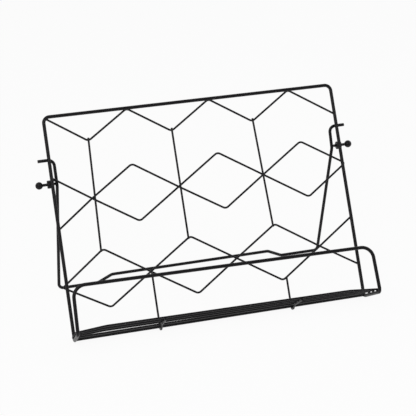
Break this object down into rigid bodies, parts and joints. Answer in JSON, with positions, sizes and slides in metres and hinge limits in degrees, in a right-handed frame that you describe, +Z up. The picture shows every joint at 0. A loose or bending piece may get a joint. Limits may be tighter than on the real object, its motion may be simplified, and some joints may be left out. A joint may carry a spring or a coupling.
{
  "type": "folding bookstand rack",
  "caption": "Wire bookstand: leaning panel with diamond infill, a shelf with a front rail, and a rear leg that folds flat.",
  "frame": {"origin": "centre of the whole stand's box on the table, under the open stand", "axes": "+X along the shelf to the reader's right, +Y to the back, +Z up from the table"},
  "size_m": [0.3536, 0.1874, 0.1921],
  "materials": {
    "black_coat": "satin black powder coat on steel wire",
    "hinge_coat": "satin black powder coat on turned steel"
  },
  "bodies": {
    "stand": {"frame_wire": "black_coat", "shelf_wire_rear": "black_coat", "shelf_wire_1": "black_coat", "shelf_wire_2": "black_coat", "shelf_wire_3": "black_coat", "shelf_stay_left": "black_coat", "shelf_stay_right": "black_coat", "top_zigzag": "black_coat", "upper_diamonds": "black_coat", "lower_diamonds": "black_coat", "panel_heel_wire": "black_coat", "upright_left": "black_coat", "upright_middle": "black_coat", "upright_right": "black_coat", "pivot_ear_left": "hinge_coat", "pivot_ear_right": "hinge_coat"},
    "leg": {"rear_leg": "black_coat", "pivot_pin_left": "hinge_coat", "pivot_pin_right": "hinge_coat", "pin_ball_left": "hinge_coat", "pin_ball_right": "hinge_coat"}
  },
  "joints": [
    {"name": "leg_fold", "type": "hinge", "parent": "stand", "child": "leg", "pos_m": [0, 0.05389, 0.13135], "axis": [1, 0.0058, 0.0076], "range_deg": [-31, 0]}
  ]
}
